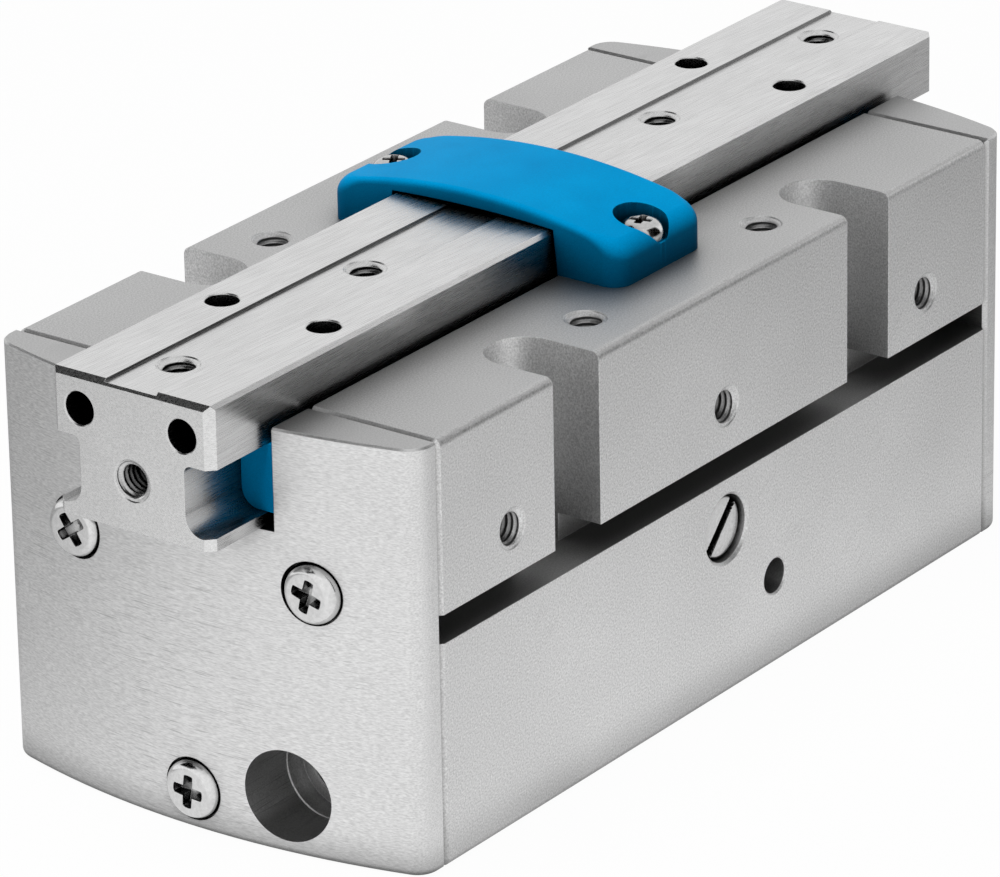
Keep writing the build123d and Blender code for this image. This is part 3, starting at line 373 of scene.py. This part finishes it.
# A domed head with a cross recess: a flat top with a quarter ellipse down to the edge, turned about
# the screw's axis, less a depth that falls off across each wing and towards its round end, then the
# edge, the seat and the shank
def crossHeadScrew(size, turn):
    radius, flat, rise = size["headRadius"], size["flatRadius"], size["headHeight"] - size["edgeHeight"]
    reach = np.linspace(0, flat, size["rows"])
    bend = np.linspace(0, math.pi / 2, size["bendSteps"])[1:]
    top = [(r, size["headHeight"]) for r in reach]
    top += list(zip(flat + (radius - flat) * np.sin(bend), size["edgeHeight"] + rise * np.cos(bend)))
    shank = [(radius, 0), (size["shankRadius"], 0), (size["shankRadius"], -size["shankLength"]),
             (0, -size["shankLength"])]
    grid = turnedGrid(top + shank, size["columns"])
    tilt = math.radians(turn)
    across = grid[..., 0] * math.cos(tilt) + grid[..., 1] * math.sin(tilt)
    along = grid[..., 1] * math.cos(tilt) - grid[..., 0] * math.sin(tilt)
    far = np.maximum(abs(across), abs(along))
    near = np.minimum(abs(across), abs(along))
    half = size["wingWidth"] / 2 * (1 - size["wingTaper"] * far / size["wingReach"])
    far = np.hypot(far, size["endRoundness"] * near)
    sunk = ease((half - near) / size["wallWidth"] + 0.5) * ease((size["wingReach"] - far) / size["endSlope"])
    depth = sunk * size["recessDepth"] * (1 - size["floorRise"] * far / size["wingReach"])
    depth[size["rows"]:] = 0
    grid[..., 2] -= depth
    return grid


# End cap screws: M4 pan heads
capScrew = {
    "headRadius": 3.7, "headHeight": 2.2, "edgeHeight": 0.5, "flatRadius": 2.6,
    "shankRadius": 1.6, "shankLength": 14.9, "wingWidth": 1.25, "wingReach": 2.1,
    "recessDepth": 1.7, "wallWidth": 0.14, "endSlope": 0.3, "wingTaper": 0.15, "endRoundness": 0.9,
    "floorRise": 0.35, "rows": 66, "bendSteps": 15, "columns": 180}
capPlate = {"thickness": 8.0, "faceRadius": 105.0, "headRecess": 1.1, "halfLength": 56.5}
capScrewPlaces = [(16.9, 33.3, 35), (-16.9, 33.3, -15), (0, 5.2, -5)]  # y, z, turn of the cross
for side, label in ((-1, "front"), (1, "rear")):
    heads = []
    for y, z, turn in capScrewPlaces:
        bulge = capPlate["faceRadius"] - math.sqrt(capPlate["faceRadius"] ** 2 - y**2)
        seat = capPlate["halfLength"] + capPlate["thickness"] - bulge - capPlate["headRecess"]
        head = crossHeadScrew(capScrew, turn)
        heads.append((placeGrid(head, (side * seat, -side * y, z), (side, 0, 0)), True))
    surfaceObject(label + "_cap_screw_heads", heads, "nickel_steel", "housing", [label + "_cap_screws"])

# Bridge cover screws: M3 pan heads
bridgeScrew = {
    **capScrew, "headRadius": 2.8, "flatRadius": 1.2, "shankRadius": 1.2, "shankLength": 10.1,
    "wingWidth": 0.85, "wingReach": 1.6, "recessDepth": 1.4}
bridgeScrewPlaces = [(18.0, 30), (-18.0, 15)]  # y, turn of the cross
bridgeSeat = 55.8
heads = [(placeGrid(crossHeadScrew(bridgeScrew, turn), (0, y, bridgeSeat), (0, 0, 1)), True)
         for y, turn in bridgeScrewPlaces]
surfaceObject("bridge_screw_heads", heads, "nickel_steel", "housing", ["bridge_cover_screws"])


# A threaded sleeve: its inner radius is the root, which widens in the countersink, less a ridge that
# winds once round in a pitch, as a triangle with its corners eased. Its outer wall lies in the metal
def threadSleeve(size):
    rows = int(size["length"] / size["pitch"] * size["rowsPerTurn"])
    depth = np.linspace(size["start"], size["start"] + size["length"], rows)[:, None]
    angle = (np.arange(size["columns"]) * 2 * math.pi / size["columns"])[None, :]
    turn = (depth / size["pitch"] - angle / (2 * math.pi)) % 1
    root = size["root"] + np.clip(size["sink"] - depth, 0, None)
    radius = root - size["ridge"] * ease(1 - abs(2 * turn - 1) * size["ridgeNarrowing"])
    inner = np.stack([radius * np.cos(angle), radius * np.sin(angle),
                      np.broadcast_to(-depth, radius.shape)], axis=-1)
    ends = [(size["root"] + size["wall"], -depth[-1, 0]), (size["root"] + size["wall"], -size["sink"]),
            (root[0, 0] + size["wall"], -depth[0, 0])]
    return np.concatenate([inner, turnedGrid(ends, size["columns"]), inner[:1]])


# M5 threads with a pitch of 0.8 mm, from just inside the countersink down
m5Thread = {"root": 2.07, "ridge": 0.28, "pitch": 0.8, "start": 0.14, "length": 6.8, "wall": 0.2,
            "sink": 0.48, "ridgeNarrowing": 1.15, "rowsPerTurn": 10, "columns": 64}
shape = {"halfWidth": 30.0, "top": 52.6, "topX": 18.0, "topY": 22.7, "sideX": 42.8, "sideZ": 37.1}
housingThreads = [((x, y, shape["top"]), (0, 0, 1))
                  for x in (-shape["topX"], shape["topX"]) for y in (-shape["topY"], shape["topY"])]
housingThreads += [((x, side * shape["halfWidth"], shape["sideZ"]), (0, side, 0))
                   for x in (-shape["sideX"], 0, shape["sideX"]) for side in (-1, 1)]
surfaceObject("housing_threads", [(placeGrid(threadSleeve(m5Thread), place, way), True)
                                  for place, way in housingThreads], "anodised_aluminium", "housing")

jawThread = {"bandTop": 57.65, "outerX": 64.4, "innerX": 29.66, "reach": 73.3, "endZ": 46.6}
for side, label in ((-1, "front"), (1, "rear")):
    places = [((side * x, 0, jawThread["bandTop"]), (0, 0, 1))
              for x in (jawThread["outerX"], jawThread["innerX"])]
    places.append(((side * jawThread["reach"], 0, jawThread["endZ"]), (side, 0, 0)))
    surfaceObject(label + "_jaw_threads", [(placeGrid(threadSleeve(m5Thread), place, way), True)
                                           for place, way in places], "ground_steel", label + "_jaw")

# Air port threads of one eighth of an inch, with a pitch of 0.907 mm, inside the port's plain mouth
portThread = {**m5Thread, "root": 4.2, "ridge": 0.34, "pitch": 0.907, "start": 3.05, "length": 7.2,
              "sink": 3.05, "columns": 96}
portPlace = {"x": 56.5, "y": 13.0, "z": 7.4}
places = [((side * portPlace["x"], side * portPlace["y"], portPlace["z"]), (side, 0, 0)) for side in (-1, 1)]
surfaceObject("port_threads", [(placeGrid(threadSleeve(portThread), place, way), True)
                               for place, way in places], "anodised_aluminium", "housing")


# A slotted plug: a flat disc with an eased rim, less a slot whose walls are eased, turned by its angle
def slottedPlug(size):
    bend = np.linspace(0, math.pi / 2, size["bendSteps"])[1:]
    reach = np.linspace(0, size["radius"] - size["rimRound"], size["rows"])
    profile = [(r, 0) for r in reach]
    profile += list(zip(size["radius"] - size["rimRound"] * (1 - np.sin(bend)),
                        size["rimRound"] * (np.cos(bend) - 1)))
    profile += [(size["radius"], -size["length"]), (0, -size["length"])]
    grid = turnedGrid(profile, size["columns"])
    tilt = math.radians(size["slotAngle"])
    across = abs(grid[..., 1] * math.cos(tilt) - grid[..., 0] * math.sin(tilt))
    sunk = ease((size["slotWidth"] / 2 - across) / size["wallWidth"] + 0.5) * size["slotDepth"]
    sunk[-2:] = 0
    grid[..., 2] -= sunk
    return grid


sidePlug = {"radius": 3.9, "rimRound": 0.35, "length": 5.9, "recess": 0.95, "slotWidth": 1.2,
            "slotDepth": 1.3, "slotAngle": 46, "wallWidth": 0.12, "rows": 64, "bendSteps": 6,
            "columns": 180, "z": 21.4}
plugFace = shape["halfWidth"] - sidePlug["recess"]
surfaceObject("side_plug_heads", [(placeGrid(slottedPlug(sidePlug), (0, side * plugFace, sidePlug["z"]),
                                             (0, side, 0)), True) for side in (-1, 1)],
              "nickel_steel", "housing", ["side_plugs"])


# Points along a line, with a number of steps for each stretch between two stops
def steppedPoints(stops, steps):
    parts = [np.linspace(a, b, n, endpoint=False) for a, b, n in zip(stops, stops[1:], steps)]
    return np.concatenate(parts + [stops[-1:]])


# The bridge cover: a height over a rectangle with round corners. The top is an arch across the
# travel, less a round fall near the outline that is wider toward the ends, with two flat pockets
# let in for the screws. The underside is a flatter arch between two legs. Rows go across, and each
# row ends on the outline
def bridgeCover(size):
    high, low = size["halfWidth"], size["halfLength"]
    corner = size["cornerRadius"]
    y = steppedPoints([-high, *size["rowStops"], high], size["rowSteps"])
    past = np.clip(abs(y) - (high - corner), 0, corner)
    halfRow = low - corner + np.sqrt(corner**2 - past**2)
    x = steppedPoints([-1, *size["columnStops"], 1], size["columnSteps"])[None, :] * halfRow[:, None]
    y = np.broadcast_to(y[:, None], x.shape)
    outX = abs(x) - (low - corner)
    outY = abs(y) - (high - corner)
    outside = np.hypot(np.maximum(outX, 0), np.maximum(outY, 0)) + np.minimum(np.maximum(outX, outY), 0)
    inset = np.clip(corner - outside, 0, None)
    towardEnd = ease((abs(y) - high + size["endRoundStart"]) / size["endRoundReach"])
    edge = size["edgeRound"] + (size["endRound"] - size["edgeRound"]) * towardEnd
    fall = edge - np.sqrt(np.maximum(edge**2 - np.clip(edge - inset, 0, edge) ** 2, 0))
    archRadius = (high**2 + size["drop"] ** 2) / (2 * size["drop"])
    arch = size["crown"] - archRadius + np.sqrt(archRadius**2 - y**2)
    away = np.hypot(x, abs(y) - size["screwY"])
    inPocket = ease((size["pocketRadius"] - away) / size["pocketWall"] + 0.5)
    top = arch - fall
    top = top + (size["seat"] - top) * inPocket
    springs = size["underside"] - size["undersideDrop"] * (y / size["legInner"]) ** 2
    onLeg = ease((abs(y) - size["legInner"]) / size["legWall"] + 0.5)
    under = springs + (size["base"] - springs) * onLeg
    topGrid = np.stack([x, y, top], axis=-1)
    underGrid = np.stack([x, y, under], axis=-1)
    grids = [(topGrid, False), (underGrid, False)]
    for rim in (np.s_[0, :], np.s_[-1, :], np.s_[:, 0], np.s_[:, -1]):
        grids.append((np.stack([topGrid[rim], underGrid[rim]]), False))
    return grids


coverLow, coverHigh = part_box("bridge_cover")
coverSize = {
    "halfLength": coverHigh.x / mm, "halfWidth": coverHigh.y / mm, "crown": coverHigh.z / mm,
    "base": coverLow.z / mm, "cornerRadius": 2.5, "drop": 2.8,
    "edgeRound": 0.8, "endRound": 2.0, "endRoundStart": 5, "endRoundReach": 4,
    "screwY": 18.0, "pocketRadius": 3.2, "pocketWall": 0.12, "seat": bridgeSeat,
    "underside": 58.55, "undersideDrop": 0.4, "legInner": 11.8, "legWall": 0.12,
    "rowStops": [-20.0, -14.6, 14.6, 20.0], "rowSteps": [40, 84, 50, 84, 40],
    "columnStops": [-0.9, -0.38, 0.38, 0.9], "columnSteps": [12, 8, 90, 8, 12]}
surfaceObject("bridge_cover_shell", bridgeCover(coverSize), "blue_plastic", "housing", ["bridge_cover"])


# One even matt colour, for the cards, which are seen only in reflections
def plainSkin(name, hexCode):
    skin = bpy.data.materials.new(name)
    skin.use_nodes = True
    tree = skin.node_tree
    tree.nodes.clear()
    matt = addNode(tree, "ShaderNodeBsdfDiffuse", None, {"Color": linearColour(hexCode)})
    addNode(tree, "ShaderNodeOutputMaterial", None, {"Surface": matt.outputs[0]})
    return skin


# A pale floor that glows white to the eye, less the object's shadow. In reflections its glow is full
# before the front corner, and falls off along X, and along Y past a point
def floorSkin(name, size):
    skin = bpy.data.materials.new(name)
    skin.use_nodes = True
    tree = skin.node_tree
    tree.nodes.clear()
    path = addNode(tree, "ShaderNodeLightPath")
    place = addNode(tree, "ShaderNodeSeparateXYZ", None, {
        "Vector": addNode(tree, "ShaderNodeTexCoord").outputs["Object"]})
    past = addNode(tree, "ShaderNodeMath", {"operation": "MAXIMUM"}, {
        0: place.outputs["Y"], 1: size["yStart"]})
    fall = addNode(tree, "ShaderNodeMath", {"operation": "MULTIPLY_ADD"}, {
        0: past.outputs[0], 1: size["yShare"], 2: place.outputs["X"]})
    fade = addNode(tree, "ShaderNodeMapRange", {"interpolation_type": "SMOOTHSTEP"}, {
        "Value": fall.outputs[0], "From Min": size["fadeStart"], "From Max": size["fadeEnd"],
        "To Min": 1.0, "To Max": size["farGlow"]})
    glow = addNode(tree, "ShaderNodeMix", {"data_type": "FLOAT"}, {
        0: path.outputs["Is Camera Ray"], 2: fade.outputs[0], 3: 1.0})
    seen = addNode(tree, "ShaderNodeMath", {"operation": "MAXIMUM"}, {
        0: path.outputs["Is Camera Ray"], 1: path.outputs["Is Glossy Ray"]})
    share = addNode(tree, "ShaderNodeMath", {"operation": "MULTIPLY"}, {
        0: seen.outputs[0], 1: size["glowShare"]})
    matt = addNode(tree, "ShaderNodeBsdfDiffuse", None, {"Color": linearColour(size["colour"])})
    white = addNode(tree, "ShaderNodeEmission", None, {
        "Color": (1, 1, 1, 1), "Strength": glow.outputs[0]})
    mixed = addNode(tree, "ShaderNodeMixShader", None, {
        0: share.outputs[0], 1: matt.outputs[0], 2: white.outputs[0]})
    addNode(tree, "ShaderNodeOutputMaterial", None, {"Surface": mixed.outputs[0]})
    return skin


# A flat staged card about a centre, facing along its normal
def stageCard(name, centre, normal, width, height, skin):
    normal = np.array(normal, float) / np.linalg.norm(normal)
    right = np.cross([0, 0, 1.0], normal) if abs(normal[2]) < 0.99 else np.array([1.0, 0, 0])
    right = right / np.linalg.norm(right)
    up = np.cross(normal, right)
    corners = [np.array(centre) + a * right * width / 2 + b * up * height / 2
               for a, b in ((-1, -1), (1, -1), (1, 1), (-1, 1))]
    mesh = bpy.data.meshes.new(name)
    mesh.from_pydata([c.tolist() for c in corners], [], [(0, 1, 2, 3)])
    mesh.materials.append(skin)
    card = bpy.data.objects.new(name, mesh)
    bpy.context.scene.collection.objects.link(card)
    return card


floorLook = {"colour": "#d8d8d8", "glowShare": 0.97, "yShare": 2.1, "yStart": -0.02,
             "fadeStart": -0.16, "fadeEnd": 0.18, "farGlow": 0.42, "reach": 8, "height": -0.00005}
stageCard("floor", (0, 0, floorLook["height"]), (0, 0, 1), floorLook["reach"], floorLook["reach"],
          floorSkin("paleFloor", floorLook))
blackCard = plainSkin("blackCard", "#0c0c0c")
cards = {
    # Above and behind: the edges between a top and a front mirror it as thin black lines
    "overheadCard": {
        "centre": (-0.43, 0.60, 0.845), "normal": (0.39, -0.545, -0.74), "width": 1.0, "height": 0.9},
    # Beside the rear half: the front jaw's side mirrors it by way of the housing's top
    "sideCard": {"centre": (0.10, -0.18, 0.19), "normal": (0, 1, 0), "width": 0.27, "height": 0.28},
}
for name, card in cards.items():
    flag = stageCard(name, card["centre"], card["normal"], card["width"], card["height"], blackCard)
    flag.visible_camera = flag.visible_diffuse = flag.visible_shadow = False

# One broad lamp nearly overhead lights the plastic's top fully, its front by a quarter, its ends least
lamps = {"keyLamp": {"place": (-0.28, 0.05, 1.05), "size": 0.7, "power": 11.5}}
for name, lamp in lamps.items():
    light = bpy.data.lights.new(name, "AREA")
    light.size, light.energy = lamp["size"], lamp["power"]
    holder = bpy.data.objects.new(name, light)
    bpy.context.scene.collection.objects.link(holder)
    place = np.array(lamp["place"])
    holder.location = place
    holder.rotation_mode = "QUATERNION"
    holder.rotation_quaternion = (cadLow.lerp(cadHigh, 0.5) - holder.location).to_track_quat("-Z", "Y")
    holder.visible_glossy = False

# The world is bright to the eye and in reflections, and dim as a light
worldLook = {"lightStrength": 0.06, "seenStrength": 1.0}
world = bpy.data.worlds.new("studio")
world.use_nodes = True
bpy.context.scene.world = world
sky = world.node_tree
sky.nodes.clear()
path = addNode(sky, "ShaderNodeLightPath")
seen = addNode(sky, "ShaderNodeMath", {"operation": "MAXIMUM"}, {
    0: path.outputs["Is Camera Ray"], 1: path.outputs["Is Glossy Ray"]})
seen = addNode(sky, "ShaderNodeMath", {"operation": "MAXIMUM"}, {
    0: seen.outputs[0], 1: path.outputs["Is Transmission Ray"]})
strength = addNode(sky, "ShaderNodeMapRange", None, {
    "Value": seen.outputs[0], "To Min": worldLook["lightStrength"], "To Max": worldLook["seenStrength"]})
backdrop = addNode(sky, "ShaderNodeBackground", None, {
    "Color": (1, 1, 1, 1), "Strength": strength.outputs[0]})
addNode(sky, "ShaderNodeOutputWorld", None, {"Surface": backdrop.outputs[0]})
print("stage and light set")

# Camera, fitted to the block's edges in the photograph. Angles in degrees, the lens in millimetres on
# a sensor 36 mm wide, and lengths in metres
view = {"azimuth": 36.34, "elevation": 22.96, "roll": -1.036, "lens": 262.3, "distance": 0.8718,
        "aimHeight": 0.030, "slideRight": -0.00234, "slideUp": -0.00375, "near": 0.01, "far": 50}
azimuth, elevation, roll = (math.radians(view[k]) for k in ("azimuth", "elevation", "roll"))
ahead = np.array([math.cos(elevation) * math.cos(azimuth),
                  math.cos(elevation) * math.sin(azimuth), -math.sin(elevation)])
level = np.cross(ahead, [0, 0, 1.0])
level /= np.linalg.norm(level)
upright = np.cross(level, ahead)
right = math.cos(roll) * level + math.sin(roll) * upright
up = math.cos(roll) * upright - math.sin(roll) * level
spot = np.array([0, 0, view["aimHeight"]]) - view["distance"] * ahead
spot = spot + view["slideRight"] * right + view["slideUp"] * up
cameraData = bpy.data.cameras.new("photoCamera")
cameraData.sensor_fit, cameraData.sensor_width, cameraData.lens = "HORIZONTAL", 36, view["lens"]
cameraData.clip_start, cameraData.clip_end = view["near"], view["far"]
camera = bpy.data.objects.new("photoCamera", cameraData)
bpy.context.scene.collection.objects.link(camera)
pose = np.eye(4)
pose[:3, 0], pose[:3, 1], pose[:3, 2], pose[:3, 3] = right, up, -ahead, spot
camera.matrix_world = Matrix(pose.tolist())
bpy.context.scene.camera = camera
bpy.context.scene.view_settings.view_transform = "Standard"
print("camera set")
